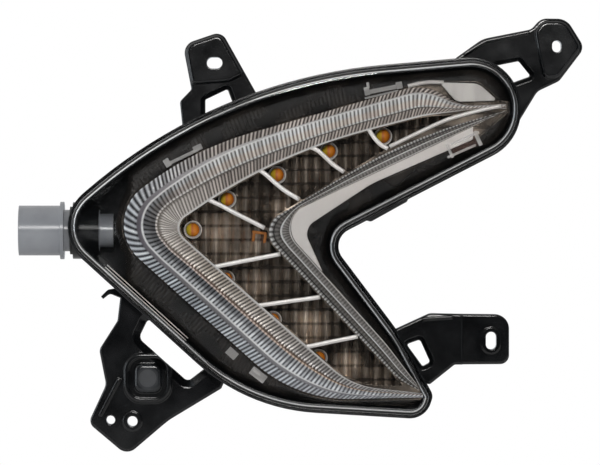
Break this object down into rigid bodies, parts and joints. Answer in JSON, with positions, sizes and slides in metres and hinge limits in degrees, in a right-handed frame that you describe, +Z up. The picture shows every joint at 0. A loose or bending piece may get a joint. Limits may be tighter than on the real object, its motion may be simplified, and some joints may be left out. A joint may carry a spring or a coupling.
{
  "type": "front parking light",
  "caption": "Wedge-shaped car front parking light: clear lens over a ridged light guide band and amber domes in reflector cells, with moulded fixing arms and a side bulb socket.",
  "frame": {"origin": "axis of the ringed fixing hole in the lower left arm, at the front face of that arm", "axes": "+X along the lamp from the bulb socket to the upper right arm, +Z up, and -Y the way the lens faces"},
  "size_m": [0.311, 0.0685, 0.239],
  "materials": {
    "housing_black": "semi-gloss moulded",
    "sealant_grey": "soft bead",
    "lens_clear": "clear polished",
    "reflector_bright": "vacuum metallised",
    "guide_clear": "clear ridged",
    "bar_clear": "clear ribbed",
    "trim_pale": "satin metallised",
    "dome_amber": "clear amber",
    "board_green": "coated board",
    "screw_steel": "zinc plated",
    "socket_grey": "moulded",
    "terminal_brass": "tinned",
    "gasket_black": "soft",
    "bulb_glass": "clear",
    "vent_black": "soft"
  },
  "bodies": {
    "root": {"rear_housing": "housing_black", "lens_sealant": "sealant_grey", "outer_lens": "lens_clear", "main_reflector": "reflector_bright", "fluted_light_guide": "guide_clear", "inner_light_bar": "bar_clear", "trim_bezel": "trim_pale", "upper_tip_bezel": "trim_pale", "amber_led_1": "dome_amber", "amber_led_2": "dome_amber", "amber_led_3": "dome_amber", "amber_led_4": "dome_amber", "amber_led_5": "dome_amber", "amber_led_6": "dome_amber", "amber_led_7": "dome_amber", "amber_led_8": "dome_amber", "upper_led_board": "board_green", "lower_led_board": "board_green", "board_screws": "screw_steel", "reflector_screws": "screw_steel", "bulb_socket": "socket_grey", "socket_terminals": "terminal_brass", "socket_gasket": "gasket_black", "bulb": "bulb_glass", "breather_vent": "vent_black"}
  },
  "joints": []
}
